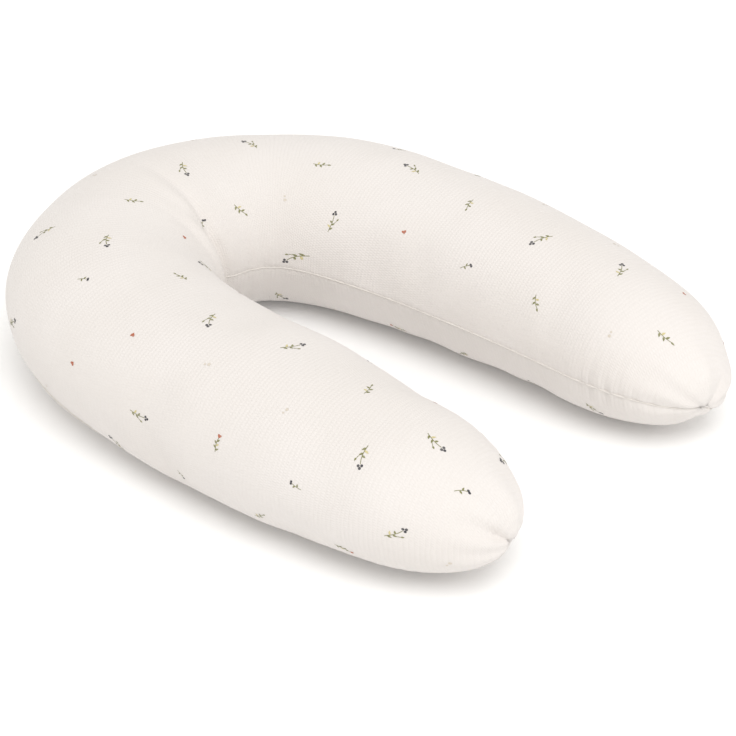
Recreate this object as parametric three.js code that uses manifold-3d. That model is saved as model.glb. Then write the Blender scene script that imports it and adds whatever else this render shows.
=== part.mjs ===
// A U-shaped nursing pillow: a zipped two-panel cover over a sewn inner casing and its filling.
// Millimetres, +Z up, the floor at z = 0. The bend of the U is at +Y and its two arms reach to -Y.
// The tube is built along its middle line ("spine"), and both halves are mirror images in X.
import * as THREE from "three";
import { mergeVertices } from "three/addons/utils/BufferGeometryUtils.js";
import Module from "manifold-3d";

const wasm = await Module();
wasm.setup();

// ---- Driving dimensions of the pillow
const LENGTH = 1500; // along the spine, tip to tip
const BACK_RADIUS = 117; // half the tube's width round the bend
const ARM_RADIUS = 110; // half the tube's width where an arm is fattest
const ARM_FAT_AT = 410; // distance along the spine from the middle of the bend to that place
const TIP_TAPER = 0.76; // width of an arm where its end begins to round off, as a share
const TIP_ROUND = 144; // length over which an arm's end rounds off
const FLATNESS = 0.815; // height of the tube over its width
const FLOOR_SINK = 8; // how much of the round tube is pressed flat on the floor
const BEND_RADIUS = 172; // spine radius of the bend of the U
const BEND_HALF = BEND_RADIUS * 1; // length of spine on each side that is a true arc
const BEND_EASE = BEND_RADIUS * 0.814; // length over which the arc eases into the arm
const ARM_BOW_RADIUS = 1360; // spine radius of the slight inward bow of each arm

// ---- The layers, each measured inwards from the outside of the cover
const COVER = 1.6; // padded knit
const CASING = 1.2; // plain woven inner casing
const LAYER_GAP = 0.4; // air between cover, casing and filling
const CUT_GAP = 0.3; // between two pieces cut from one layer

// ---- The seam between the top and bottom panels, in degrees below the tube's widest line
const SEAM_INNER = 2; // on the inside of the U
const SEAM_OUTER = 28; // on the outside, where the zip is
const SEAM_OUTER_ARM = 54; // on the outside, along the arms
const SEAM_EASE = 150; // length of spine over which it sinks from one to the other

// ---- The bend lines, where the soft arms turn
const HINGE_AT = BEND_HALF + 113; // along the spine from the middle of the bend
const KNUCKLE = 0.95; // radius of the round bend line, as a share of the tube's half width
const KNUCKLE_GAP = 1;
const OPEN_ANGLE = 16; // room for an arm to open outwards, in degrees
const CLOSE_ANGLE = 9; // room for an arm to close inwards, in degrees

// ---- The zip, set in the outer seam round the back of the bend
const ZIP_HALF = BEND_HALF * 0.872; // along the spine on each side, all of it on the true arc
const TAPE_WIDTH = 12;
const TAPE = 0.8;
const TAPE_SPLIT = 0.7; // half the slot between the two halves of the zip
const COIL_WIDTH = 2.1;
const COIL = 1.7;
const SLIDER_AT = ZIP_HALF - 8; // where the closed zip's slider stands, along the spine
const SLIDER_HALF = 4.5; // half its length along the zip
const SLIDER_WIDTH = 7.6;
const SLIDER_PLATE = 1;
const PULL_LENGTH = 20; // from the bar it hangs on to its end
const PULL_WIDTH = 5;
const PULL_THICKNESS = 1.2;
const BAR = 1.2; // thickness of the slider's bar, which the pull hangs on
const EYE = 1; // inner radius of the pull's eye
const EYE_OUTER = 2;
const ZIP_FIT = 0.3; // clearance between parts of the zip
const STOP_LENGTH = 3;
const LABEL_WIDTH = 26;
const LABEL_LENGTH = 21;
const LABEL = 0.6;

// ---- How finely the surfaces are faceted
const GIRTH = 16; // facets round the tube
const SEAM_FACET = 9; // half angle of the flat facet that holds the outer seam and the zip
const BACK_STEP = 37.5; // spacing of the sections round the bend
const ARM_STEP = 60;
const TIP_STEPS = 5;
const ZIP_STEP = 15;

const rad = THREE.MathUtils.degToRad;
const { sin, cos, sqrt, abs, min, max, PI } = Math;
const smooth = (t) => THREE.MathUtils.smoothstep(t, 0, 1);

// ---- The spine: position and outward direction at a distance s from the middle of the bend
const SPINE_STEP = 1;
const spineTable = [{ x: 0, y: 0, turn: 0 }];
for (let s = 0; s < LENGTH / 2 + 80; s += SPINE_STEP) {
  const from = spineTable.at(-1);
  const ease = smooth((BEND_HALF + BEND_EASE - s - SPINE_STEP / 2) / BEND_EASE);
  const curvature = 1 / ARM_BOW_RADIUS + (1 / BEND_RADIUS - 1 / ARM_BOW_RADIUS) * ease;
  const turn = from.turn + curvature * SPINE_STEP;
  const heading = (from.turn + turn) / 2;
  const reach = SPINE_STEP * (1 - (curvature * SPINE_STEP) ** 2 / 24);
  spineTable.push({ x: from.x + reach * cos(heading), y: from.y - reach * sin(heading), turn });
}

function spine(s) {
  const at = abs(s) / SPINE_STEP;
  const i = Math.floor(at);
  const a = spineTable[i];
  const b = spineTable[i + 1];
  const t = at - i;
  const side = Math.sign(s) || 1;
  const turn = a.turn + (b.turn - a.turn) * t;
  return {
    x: side * (a.x + (b.x - a.x) * t),
    y: a.y + (b.y - a.y) * t,
    nx: side * sin(turn),
    ny: cos(turn),
  };
}

// ---- The cross-section: half width, half height and height of the middle, at s, inset by a layer
function section(s, inset = 0) {
  const fat = smooth((abs(s) - ZIP_HALF - 40) / (ARM_FAT_AT - ZIP_HALF - 40));
  const full = BACK_RADIUS + (ARM_RADIUS - BACK_RADIUS) * fat;
  const out = THREE.MathUtils.clamp((abs(s) - ARM_FAT_AT) / (LENGTH / 2 - ARM_FAT_AT), 0, 1);
  const taper = 1 - (1 - TIP_TAPER) * out ** 1.5;
  const left = max(LENGTH / 2 - inset - abs(s), 0);
  const round = THREE.MathUtils.clamp(1 - left / (TIP_ROUND - inset), 0, 1);
  const cap = sqrt(max(1 - round ** 2.5, 0));
  const middle = ARM_RADIUS * FLATNESS - FLOOR_SINK;
  const height = full * taper * FLATNESS;
  return {
    width: (full * taper - inset) * cap,
    height: (height - inset) * cap,
    middle: middle + (height * cap - ARM_RADIUS * FLATNESS) * 0.3,
  };
}

const seamOuter = (s) => {
  const along = smooth((abs(s) - ZIP_HALF - 40) / SEAM_EASE);
  return rad(-(SEAM_OUTER + (SEAM_OUTER_ARM - SEAM_OUTER) * along));
};

// A point of the section at s, at an angle from straight outwards, turning up over the top.
function wallPoint(s, angle, inset) {
  const { width, height, middle } = section(s, inset);
  return [width * cos(angle), max(middle + height * sin(angle), inset)];
}

function facetAngles(s) {
  const seam = seamOuter(s);
  const half = rad(SEAM_FACET);
  const rest = 2 * PI - 2 * half;
  const angles = [seam - half];
  for (let i = 0; i < GIRTH - 1; i++) angles.push(seam + half + (rest * i) / (GIRTH - 1));
  return angles;
}

function toWorld(s, [out, up]) {
  const at = spine(s);
  return [at.x + at.nx * out, at.y + at.ny * out, up];
}

// ---- Solids
function solidOf(geometry) {
  const bare = geometry.clone();
  bare.deleteAttribute("normal");
  bare.deleteAttribute("uv");
  const merged = mergeVertices(bare, 1e-4);
  const triVerts = new Uint32Array(merged.index.array);
  const vertProperties = new Float32Array(merged.attributes.position.array);
  const made = new wasm.Manifold(new wasm.Mesh({ numProp: 3, vertProperties, triVerts }));
  if (made.volume() > 0) return made;
  for (let i = 0; i < triVerts.length; i += 3) {
    [triVerts[i + 1], triVerts[i + 2]] = [triVerts[i + 2], triVerts[i + 1]];
  }
  return new wasm.Manifold(new wasm.Mesh({ numProp: 3, vertProperties, triVerts }));
}

// A closed skin through rings of equal length, with a fan to each end ring's middle.
function loft(rings) {
  const n = rings[0].length;
  const points = rings.flat(2);
  const index = [];
  for (let r = 0; r < rings.length - 1; r++) {
    for (let i = 0; i < n; i++) {
      const a = r * n + i;
      const b = r * n + ((i + 1) % n);
      index.push(a, b, a + n, b, b + n, a + n);
    }
  }
  for (const r of [0, rings.length - 1]) {
    const middle = [0, 1, 2].map((k) => rings[r].reduce((sum, p) => sum + p[k] / n, 0));
    const hub = points.length / 3;
    points.push(...middle);
    for (let i = 0; i < n; i++) {
      const a = r * n + i;
      const b = r * n + ((i + 1) % n);
      index.push(...(r ? [a, b, hub] : [b, a, hub]));
    }
  }
  const geometry = new THREE.BufferGeometry();
  geometry.setAttribute("position", new THREE.Float32BufferAttribute(points, 3));
  geometry.setIndex(index);
  return solidOf(geometry);
}

// Places along one half of the spine, then mirrored for the other half.
const half = [];
for (let s = 0; s < 300; s += BACK_STEP) half.push(s);
const tipFrom = LENGTH / 2 - TIP_ROUND;
const armSteps = Math.round((tipFrom - 300) / ARM_STEP);
for (let i = 0; i < armSteps; i++) half.push(300 + ((tipFrom - 300) * i) / armSteps);
for (let i = 0; i < TIP_STEPS; i++) half.push(tipFrom + TIP_ROUND * sin((i / TIP_STEPS) * (PI / 2)));
half.push(LENGTH / 2 - 0.6);
const stations = [...half.slice(1).map((s) => -s).reverse(), ...half];

// The whole tube, inset by a layer. Its ends move in by the same inset.
function tube(inset) {
  const shrink = (s) => {
    const past = max(abs(s) - tipFrom, 0) / TIP_ROUND;
    return s - Math.sign(s) * past * inset;
  };
  return loft(
    stations.map((s) => {
      const at = shrink(s);
      return facetAngles(at).map((angle) => toWorld(at, wallPoint(at, angle, inset)));
    }),
  );
}

// Everything under the seam, moved up or down by half a cut gap.
function belowSeam(lift) {
  const reach = 1.1;
  const end = LENGTH / 2 + 30;
  const places = [-end, ...stations, end];
  return loft(
    places.map((s) => {
      const near = min(abs(s), LENGTH / 2 - 1) * (Math.sign(s) || 1);
      const { width, height, middle } = section(near);
      const wide = max(width, 40);
      const outer = middle + height * sin(seamOuter(near)) + lift;
      const inner = middle - height * sin(rad(SEAM_INNER)) + lift;
      const x0 = cos(seamOuter(near)) * wide;
      const x1 = -cos(rad(SEAM_INNER)) * wide;
      const slope = (outer - inner) / (x0 - x1);
      const edge = [x0 + (reach - 0.7) * wide, x1 - (reach - 0.9) * wide];
      return [
        [edge[0], outer + slope * (edge[0] - x0)],
        [edge[1], inner + slope * (edge[1] - x1)],
        [edge[1], -20],
        [edge[0], -20],
      ].map((p) => toWorld(s, p));
    }),
  );
}

// ---- The bend line of the right arm: a round knuckle about an upright axis through the spine,
// with a wedge of room on each side for the arm to swing.
const hinge = spine(HINGE_AT);
const hingeWidth = section(HINGE_AT).width;

function armRegion(gap, openRoom, closeRoom) {
  const wide = LENGTH;
  const turned = (nx, ny, degrees) => {
    const a = rad(degrees);
    return [nx * cos(a) - ny * sin(a), nx * sin(a) + ny * cos(a)];
  };
  const outer = turned(hinge.nx, hinge.ny, openRoom);
  const inner = turned(-hinge.nx, -hinge.ny, -closeRoom);
  const along = [hinge.ny, -hinge.nx];
  const corners = [
    [outer[0] * wide, outer[1] * wide],
    [hinge.nx * wide + along[0] * wide, hinge.ny * wide + along[1] * wide],
    [-hinge.nx * wide + along[0] * wide, -hinge.ny * wide + along[1] * wide],
    [inner[0] * wide, inner[1] * wide],
    [0, 0],
  ];
  const outline = new THREE.Shape(corners.map(([x, y]) => new THREE.Vector2(x, y)));
  const side = new THREE.ExtrudeGeometry(outline, { depth: 300, bevelEnabled: false });
  side.translate(hinge.x - along[0] * gap, hinge.y - along[1] * gap, -20);
  const round = new THREE.CylinderGeometry(
    hingeWidth * KNUCKLE + gap,
    hingeWidth * KNUCKLE + gap,
    300,
    36,
  );
  round.rotateX(PI / 2);
  round.translate(hinge.x, hinge.y, 130);
  const rightHalf = new THREE.BoxGeometry(2 * wide, 4 * wide, 600).translate(wide + 5, 0, 0);
  return solidOf(side).add(solidOf(round)).intersect(solidOf(rightHalf));
}

const mirrored = (solid) => solid.mirror([1, 0, 0]);
const rightArm = armRegion(0, 0, 0);
const rightRoom = armRegion(KNUCKLE_GAP, OPEN_ANGLE, CLOSE_ANGLE);
const leftArm = mirrored(rightArm);
const bothRooms = rightRoom.add(mirrored(rightRoom));

// Strips that lie on the flat facet of the outer seam. t runs up along the facet from the seam,
// and m outwards from it.
function facetPoint(s, t, m) {
  const seam = seamOuter(s);
  const a = wallPoint(s, seam - rad(SEAM_FACET), 0);
  const b = wallPoint(s, seam + rad(SEAM_FACET), 0);
  const length = Math.hypot(b[0] - a[0], b[1] - a[1]);
  const up = [(b[0] - a[0]) / length, (b[1] - a[1]) / length];
  const out = [up[1], -up[0]];
  return toWorld(s, [
    (a[0] + b[0]) / 2 + up[0] * t + out[0] * m,
    (a[1] + b[1]) / 2 + up[1] * t + out[1] * m,
  ]);
}

// The same place, on the flat facet that the cover has between two of its sections.
function coverPoint(s, t, m) {
  const i = stations.findIndex((at) => at > s);
  const [from, to] = [stations[i - 1], stations[i]];
  const a = facetPoint(from, t, m);
  const b = facetPoint(to, t, m);
  return a.map((v, k) => v + ((b[k] - v) * (s - from)) / (to - from));
}

function strip(s0, s1, t0, t1, m0, m1, pointAt = facetPoint) {
  const steps = max(1, Math.ceil((s1 - s0) / ZIP_STEP));
  const rings = [];
  for (let i = 0; i <= steps; i++) {
    const s = s0 + ((s1 - s0) * i) / steps;
    rings.push([
      pointAt(s, t0, m0),
      pointAt(s, t1, m0),
      pointAt(s, t1, m1),
      pointAt(s, t0, m1),
    ]);
  }
  return loft(rings);
}

// ---- Materials
const material = (color, roughness, metalness = 0) =>
  new THREE.MeshStandardMaterial({ color, roughness, metalness });
const knit = material(0xefe9df, 0.92);
const cotton = material(0xf4f1ea, 0.9);
const fibre = material(0xf7f6f2, 0.97);
const tapeCloth = material(0xe9e2d5, 0.85);
const nylon = material(0xeae4d8, 0.5);
const metal = material(0xc9c6be, 0.35, 0.9);
const labelCloth = material(0xfafafa, 0.7);

const root = new THREE.Group();
root.name = "nursing_pillow";

// The pillow stands with the middle of its outline over the origin.
const box = tube(0).boundingBox();
const centreY = (box.min[1] + box.max[1]) / 2;

function addNode(name, solid, mat) {
  const mesh = solid.getMesh();
  const positions = [];
  for (let i = 0; i < mesh.numVert; i++) {
    const at = i * mesh.numProp;
    positions.push(...mesh.vertProperties.subarray(at, at + 3));
  }
  const geometry = new THREE.BufferGeometry();
  geometry.setAttribute("position", new THREE.Float32BufferAttribute(positions, 3));
  geometry.setIndex([...mesh.triVerts]);
  geometry.translate(0, -centreY, 0);
  const shaded = geometry.toNonIndexed();
  shaded.computeVertexNormals();
  const node = new THREE.Mesh(shaded, mat);
  node.name = name;
  root.add(node);
}

// Cuts one layer at the bend lines, and adds its back piece and its two arm pieces.
function addLayer(name, solid, mat, window) {
  const back = solid.subtract(bothRooms);
  addNode(name + "_back", window ? back.subtract(window) : back, mat);
  addNode(name + "_left", solid.intersect(leftArm), mat);
  addNode(name + "_right", solid.intersect(rightArm), mat);
}

// ---- The layers
const casingIn = COVER + LAYER_GAP;
const fillingIn = casingIn + CASING + LAYER_GAP;
const above = belowSeam(CUT_GAP / 2);
const below = belowSeam(-CUT_GAP / 2);
const cover = tube(0).subtract(tube(COVER));
const casing = tube(casingIn).subtract(tube(casingIn + CASING));

const zipSpan = TAPE_WIDTH + CUT_GAP;
const zipEnd = ZIP_HALF + STOP_LENGTH + 1;
const zipWindow = strip(-zipEnd, zipEnd, -zipSpan, zipSpan, -6, 4);

addLayer("cover_top", cover.subtract(above), knit, zipWindow);
addLayer("cover_bottom", cover.intersect(below), knit, zipWindow);
addLayer("casing_top", casing.subtract(above), cotton);
addLayer("casing_bottom", casing.intersect(below), cotton);
addLayer("filling", tube(fillingIn), fibre);

// ---- The zip
const tapeEnd = zipEnd - 0.5;
addNode("zip_tape_upper", strip(-tapeEnd, tapeEnd, TAPE_SPLIT, TAPE_WIDTH, -TAPE, 0), tapeCloth);
addNode("zip_tape_lower", strip(-tapeEnd, tapeEnd, -TAPE_WIDTH, -TAPE_SPLIT, -TAPE, 0), tapeCloth);
const coilOut = TAPE_SPLIT + COIL_WIDTH;
const coilTop = ZIP_FIT + COIL;
addNode("zip_coil_upper", strip(-ZIP_HALF, ZIP_HALF, TAPE_SPLIT, coilOut, ZIP_FIT, coilTop), nylon);
addNode("zip_coil_lower", strip(-ZIP_HALF, ZIP_HALF, -coilOut, -TAPE_SPLIT, ZIP_FIT, coilTop), nylon);
for (const [name, side] of [
  ["zip_stop_left", -1],
  ["zip_stop_right", 1],
]) {
  const at = side * (ZIP_HALF + 0.4 + STOP_LENGTH / 2);
  const ends = [at - STOP_LENGTH / 2, at + STOP_LENGTH / 2];
  addNode(name, strip(...ends, -coilOut, coilOut, ZIP_FIT, coilTop + 0.4), metal);
}

// The slider's own frame: along the zip, up the facet, and outwards.
const origin = new THREE.Vector3(...facetPoint(SLIDER_AT, 0, 0));
const up = new THREE.Vector3(...facetPoint(SLIDER_AT, 1, 0)).sub(origin);
const out = new THREE.Vector3(...facetPoint(SLIDER_AT, 0, 1)).sub(origin);
const along = new THREE.Vector3().crossVectors(up, out);
const sliderFrame = new THREE.Matrix4().makeBasis(along, up, out).setPosition(origin);

function block(frame, x0, x1, y0, y1, z0, z1) {
  const geometry = new THREE.BoxGeometry(x1 - x0, y1 - y0, z1 - z0);
  geometry.translate((x0 + x1) / 2, (y0 + y1) / 2, (z0 + z1) / 2);
  return solidOf(geometry.applyMatrix4(frame));
}

const plateUnder = coilTop + ZIP_FIT;
const plateTop = plateUnder + SLIDER_PLATE;
const pivotHeight = plateTop + ZIP_FIT + EYE_OUTER;
const barTop = pivotHeight + BAR / 2;
const side = SLIDER_WIDTH / 2;
const neck = TAPE_SPLIT - ZIP_FIT;
const keel = -TAPE - ZIP_FIT;
const postIn = PULL_WIDTH / 2 + ZIP_FIT;
const slider = [
  block(sliderFrame, -SLIDER_HALF, SLIDER_HALF, -side, side, plateUnder, plateTop),
  block(sliderFrame, -SLIDER_HALF, SLIDER_HALF, coilOut + ZIP_FIT, side, ZIP_FIT, plateTop),
  block(sliderFrame, -SLIDER_HALF, SLIDER_HALF, -side, -coilOut - ZIP_FIT, ZIP_FIT, plateTop),
  block(sliderFrame, -2.5, 2.5, -neck, neck, keel - 0.5, plateTop),
  block(sliderFrame, -SLIDER_HALF, SLIDER_HALF, -3, 3, keel - 0.6, keel),
  block(sliderFrame, -postIn - BAR, -postIn, -BAR / 2, BAR / 2, plateTop - 0.5, barTop),
  block(sliderFrame, postIn, postIn + BAR, -BAR / 2, BAR / 2, plateTop - 0.5, barTop),
  block(sliderFrame, -postIn - BAR, postIn + BAR, -BAR / 2, BAR / 2, barTop - BAR, barTop),
];
addNode("zip_slider", slider.reduce((a, b) => a.add(b)), metal);

// The pull hangs straight down from the slider's bar.
const pullFrame = sliderFrame
  .clone()
  .multiply(new THREE.Matrix4().makeTranslation(0, 0, pivotHeight))
  .multiply(new THREE.Matrix4().makeRotationX(Math.asin(out.z)));
const disc = (radius, width) => {
  const geometry = new THREE.CylinderGeometry(radius, radius, width, 24).rotateZ(PI / 2);
  return solidOf(geometry.applyMatrix4(pullFrame));
};
const pullHalf = PULL_WIDTH / 2;
const thick = PULL_THICKNESS / 2;
const eyeHalf = pullHalf / 2;
const pull = disc(EYE_OUTER, 2 * eyeHalf)
  .add(block(pullFrame, -eyeHalf, eyeHalf, -EYE_OUTER - 3, -EYE - 0.3, -thick, thick))
  .add(block(pullFrame, -pullHalf, pullHalf, -PULL_LENGTH, -EYE_OUTER - 1.4, -thick, thick))
  .subtract(disc(EYE, 3 * eyeHalf));
addNode("zip_pull", pull, metal);

// ---- The care label, sewn into the outer seam beside the zip and left blank
const labelFrom = zipEnd + 6;
const labelTo = labelFrom + (LABEL_WIDTH * BEND_RADIUS) / (BEND_RADIUS + BACK_RADIUS);
const label = strip(labelFrom, labelTo, -LABEL_LENGTH, -0.5, 0.3, 0.3 + LABEL, coverPoint);
addNode("care_label", label, labelCloth);

export default root;
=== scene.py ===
import math

import bmesh
import bpy
import numpy as np
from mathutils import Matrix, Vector, noise
from mathutils.bvhtree import BVHTree


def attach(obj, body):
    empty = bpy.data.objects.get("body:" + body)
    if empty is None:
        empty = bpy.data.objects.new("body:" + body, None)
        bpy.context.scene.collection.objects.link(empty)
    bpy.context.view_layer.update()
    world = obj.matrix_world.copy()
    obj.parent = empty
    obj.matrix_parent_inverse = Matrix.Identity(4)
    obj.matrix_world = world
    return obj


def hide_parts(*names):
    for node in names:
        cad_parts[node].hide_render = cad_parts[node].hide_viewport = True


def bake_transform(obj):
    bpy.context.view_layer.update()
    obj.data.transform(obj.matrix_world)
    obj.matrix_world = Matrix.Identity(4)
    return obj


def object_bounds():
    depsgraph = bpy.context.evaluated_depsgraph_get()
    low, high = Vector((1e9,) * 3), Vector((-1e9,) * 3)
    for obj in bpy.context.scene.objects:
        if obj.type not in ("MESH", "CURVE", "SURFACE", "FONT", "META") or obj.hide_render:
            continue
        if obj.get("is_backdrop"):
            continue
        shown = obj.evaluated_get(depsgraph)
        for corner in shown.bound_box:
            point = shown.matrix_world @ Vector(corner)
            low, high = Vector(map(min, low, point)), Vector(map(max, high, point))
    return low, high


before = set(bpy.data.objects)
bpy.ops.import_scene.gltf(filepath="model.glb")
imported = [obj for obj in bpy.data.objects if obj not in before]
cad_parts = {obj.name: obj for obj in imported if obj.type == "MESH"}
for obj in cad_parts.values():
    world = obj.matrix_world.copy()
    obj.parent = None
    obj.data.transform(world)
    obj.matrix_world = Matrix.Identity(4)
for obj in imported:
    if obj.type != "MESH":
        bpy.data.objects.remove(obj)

# Sizes are in millimetres and angles in degrees, except where a comment or a name says otherwise.
# A place on the tube is (s, angle): s runs along the spine from the left tip to the right one and
# is 0 in the middle of the back. The angle is 0 straight outwards, 90 up and 180 inwards.
CAD_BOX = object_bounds()
MM = 0.001
scene = bpy.context.scene

# ---- The tube's sizes, as the CAD has them
LENGTH = 1500.0
BACK_RADIUS = 117.0
ARM_RADIUS = 110.0
ARM_FAT_AT = 410.0
TIP_TAPER = 0.76
TIP_ROUND = 144.0
FLATNESS = 0.815
FLOOR_SINK = 8.0
BEND_RADIUS = 172.0
BEND_HALF = BEND_RADIUS
BEND_EASE = BEND_RADIUS * 0.814
ARM_BOW_RADIUS = 1360.0
SPINE_Y = 266.38
ZIP_HALF = BEND_HALF * 0.872
SEAM_INNER = 2.0
SEAM_OUTER = 28.0
SEAM_OUTER_ARM = 54.0
SEAM_EASE = 150.0
SEAM_EASE_FROM = ZIP_HALF + 40
CAP_POWER = 2.5  # the roundness of the tips

# ---- How the cloth is built
TOP_ARC, TOP_ROWS = 387.0, 54  # a panel's width and its rows of cells
BOTTOM_ARC, BOTTOM_ROWS = 236.0, 32
START_INSET = 1.5  # below the CAD's wall, before the cloth is blown up
SEAM_INSET = 2.2
SEAM_SOFT = 9.0  # how far from a seam the cloth stays low
ZIP_SLOT = 4.6  # from the middle of the zip to each panel's edge
SLOT_REACH = 45.0  # how far up a panel its cells make room for the slot
SLOT_PAST = 4.5  # past the end of the zip, where the slot is closed
CLOTH_FRAMES = 16
CLOTH_CAP = 5.5  # the most that the cloth may move
CLOTH_EVENING = 6  # passes that even the movement
BROAD_EVENING = 60  # passes that leave only its broad part
BROAD_TAKEN = 0.8  # share of the broad part that is taken out again
COLUMN_PITCH = 4.7
DASH_PITCH = 3.1
TIP_TUCK, TIP_TUCK_WIDE = 4.0, 12.0
TIP_LOBE, TIP_LOBE_AT, TIP_LOBE_WIDE = 4.0, 42, 26


def smooth(t):
    t = np.clip(t, 0.0, 1.0)
    return t * t * (3.0 - 2.0 * t)


# the spine of one arm in steps of 1 mm: a tight bend that eases into a slight bow
_S = np.arange(0.0, 832.0)
_CURV = 1 / ARM_BOW_RADIUS + (1 / BEND_RADIUS - 1 / ARM_BOW_RADIUS) * smooth(
    (BEND_HALF + BEND_EASE - _S - 0.5) / BEND_EASE
)
_TURN = np.concatenate([[0.0], np.cumsum(_CURV)])
_HEAD = (_TURN[1:] + _TURN[:-1]) / 2
_X = np.concatenate([[0.0], np.cumsum(np.cos(_HEAD))])
_Y = np.concatenate([[0.0], -np.cumsum(np.sin(_HEAD))])
_AT = np.arange(len(_X), dtype=float)


def spine(s):
    """Place and outward direction of the spine at s."""
    s = np.asarray(s, float)
    a = np.abs(s)
    side = np.where(s < 0, -1.0, 1.0)
    x = np.interp(a, _AT, _X) * side
    y = np.interp(a, _AT, _Y) + SPINE_Y
    turn = np.interp(a, _AT, _TURN)
    return x, y, side * np.sin(turn), np.cos(turn)


def section(s):
    """Half width, half height and height of the middle of the section at s."""
    a = np.abs(np.asarray(s, float))
    fat = smooth((a - SEAM_EASE_FROM) / (ARM_FAT_AT - SEAM_EASE_FROM))
    full = BACK_RADIUS + (ARM_RADIUS - BACK_RADIUS) * fat
    out = np.clip((a - ARM_FAT_AT) / (LENGTH / 2 - ARM_FAT_AT), 0, 1)
    taper = 1 - (1 - TIP_TAPER) * out**1.5
    left = np.maximum(LENGTH / 2 - a, 0)
    cap = np.sqrt(np.maximum(1 - np.clip(1 - left / TIP_ROUND, 0, 1) ** CAP_POWER, 0))
    width = full * taper * cap
    height = width * FLATNESS
    middle = ARM_RADIUS * FLATNESS - FLOOR_SINK + (height - ARM_RADIUS * FLATNESS) * 0.3
    return width, height, middle


def outer_seam(s):
    """Angle of the outer seam at s."""
    along = smooth((np.abs(s) - SEAM_EASE_FROM) / SEAM_EASE)
    return -(SEAM_OUTER + (SEAM_OUTER_ARM - SEAM_OUTER) * along)


def wall(s, degrees):
    """A point of the tube's wall, shape (..., 3)."""
    x, y, nx, ny = spine(s)
    w, h, mid = section(s)
    a = np.radians(degrees)
    u = w * np.cos(a)
    return np.stack([x + nx * u, y + ny * u, mid + h * np.sin(a)], -1)


def outward(s, degrees):
    """Outward direction of the wall, turning along the arm over the rounded tips."""
    s = np.asarray(s, float)
    _, _, nx, ny = spine(s)
    side = np.where(s < 0, -1.0, 1.0)
    w, h, _ = section(s)
    a = np.radians(degrees)
    u = np.cos(a) * FLATNESS
    v = np.sin(a)
    k = np.hypot(u, v)
    u, v = u / k, v / k
    left = np.maximum(LENGTH / 2 - np.abs(s), 0)
    r = np.clip(1 - left / TIP_ROUND, 0, 1)
    cap = np.sqrt(np.maximum(1 - r**CAP_POWER, 1e-8))
    lean = CAP_POWER / 2 * r ** (CAP_POWER - 1) * (ARM_RADIUS * TIP_TAPER) / (cap * TIP_ROUND)
    k = np.sqrt(1 + lean**2)
    u, v, along = u / k, v / k, lean / k
    return np.stack([nx * u + side * ny * along, ny * u - side * nx * along, v], -1)


def per_degree(s):
    """Length of one degree of the wall at s, taken as the mean of its two half sizes."""
    return math.pi * float(sum(section(s)[:2])) / 360.0


def zip_open(s):
    """1 along the zip, where the panels stand apart, and 0 where they are sewn together."""
    return smooth((ZIP_HALF + SLOT_PAST - np.abs(s)) / 7)


# ---- Places along the spine
def stations():
    """Even steps along the arms, then steps that close up over the tips."""
    tip_from = LENGTH / 2 - TIP_ROUND
    body = np.linspace(0, tip_from, 88)
    caps = np.cos(np.linspace(0, math.pi / 2, 22))[1:-1]
    tip = [LENGTH / 2 - TIP_ROUND * (1 - (1 - c**2) ** (1 / CAP_POWER)) for c in caps]
    half = np.concatenate([body, tip])
    return np.concatenate([-half[::-1], half[1:]])


STATIONS = stations()


def panel_rows(arc, count):
    """Distances across a panel, closer together beside both seams."""
    near = np.array([0.0, 1.2, 3.0, 5.6, 9.2])
    middle = np.linspace(near[-1], arc - near[-1], count)[1:-1]
    return np.concatenate([near, middle, arc - near[::-1]])


def panel(top):
    """Grid of angles for one panel: (station, row), with distances from its two seams."""
    arc = TOP_ARC if top else BOTTOM_ARC
    rows = panel_rows(arc, TOP_ROWS if top else BOTTOM_ROWS)
    s = STATIONS[:, None]
    start = outer_seam(s) if top else np.full_like(s, 180.0 + SEAM_INNER)
    stop = np.full_like(s, 180.0 + SEAM_INNER) if top else outer_seam(s) + 360.0
    d_out = rows[None, :] if top else (arc - rows)[None, :]
    opened = d_out + ZIP_SLOT * zip_open(s) * np.clip(1 - d_out / SLOT_REACH, 0, 1)
    share = opened / arc if top else 1 - opened / arc
    angle = start + (stop - start) * share
    d_in = (arc - d_out) + 0 * s
    return angle, d_out + 0 * s, d_in


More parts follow.
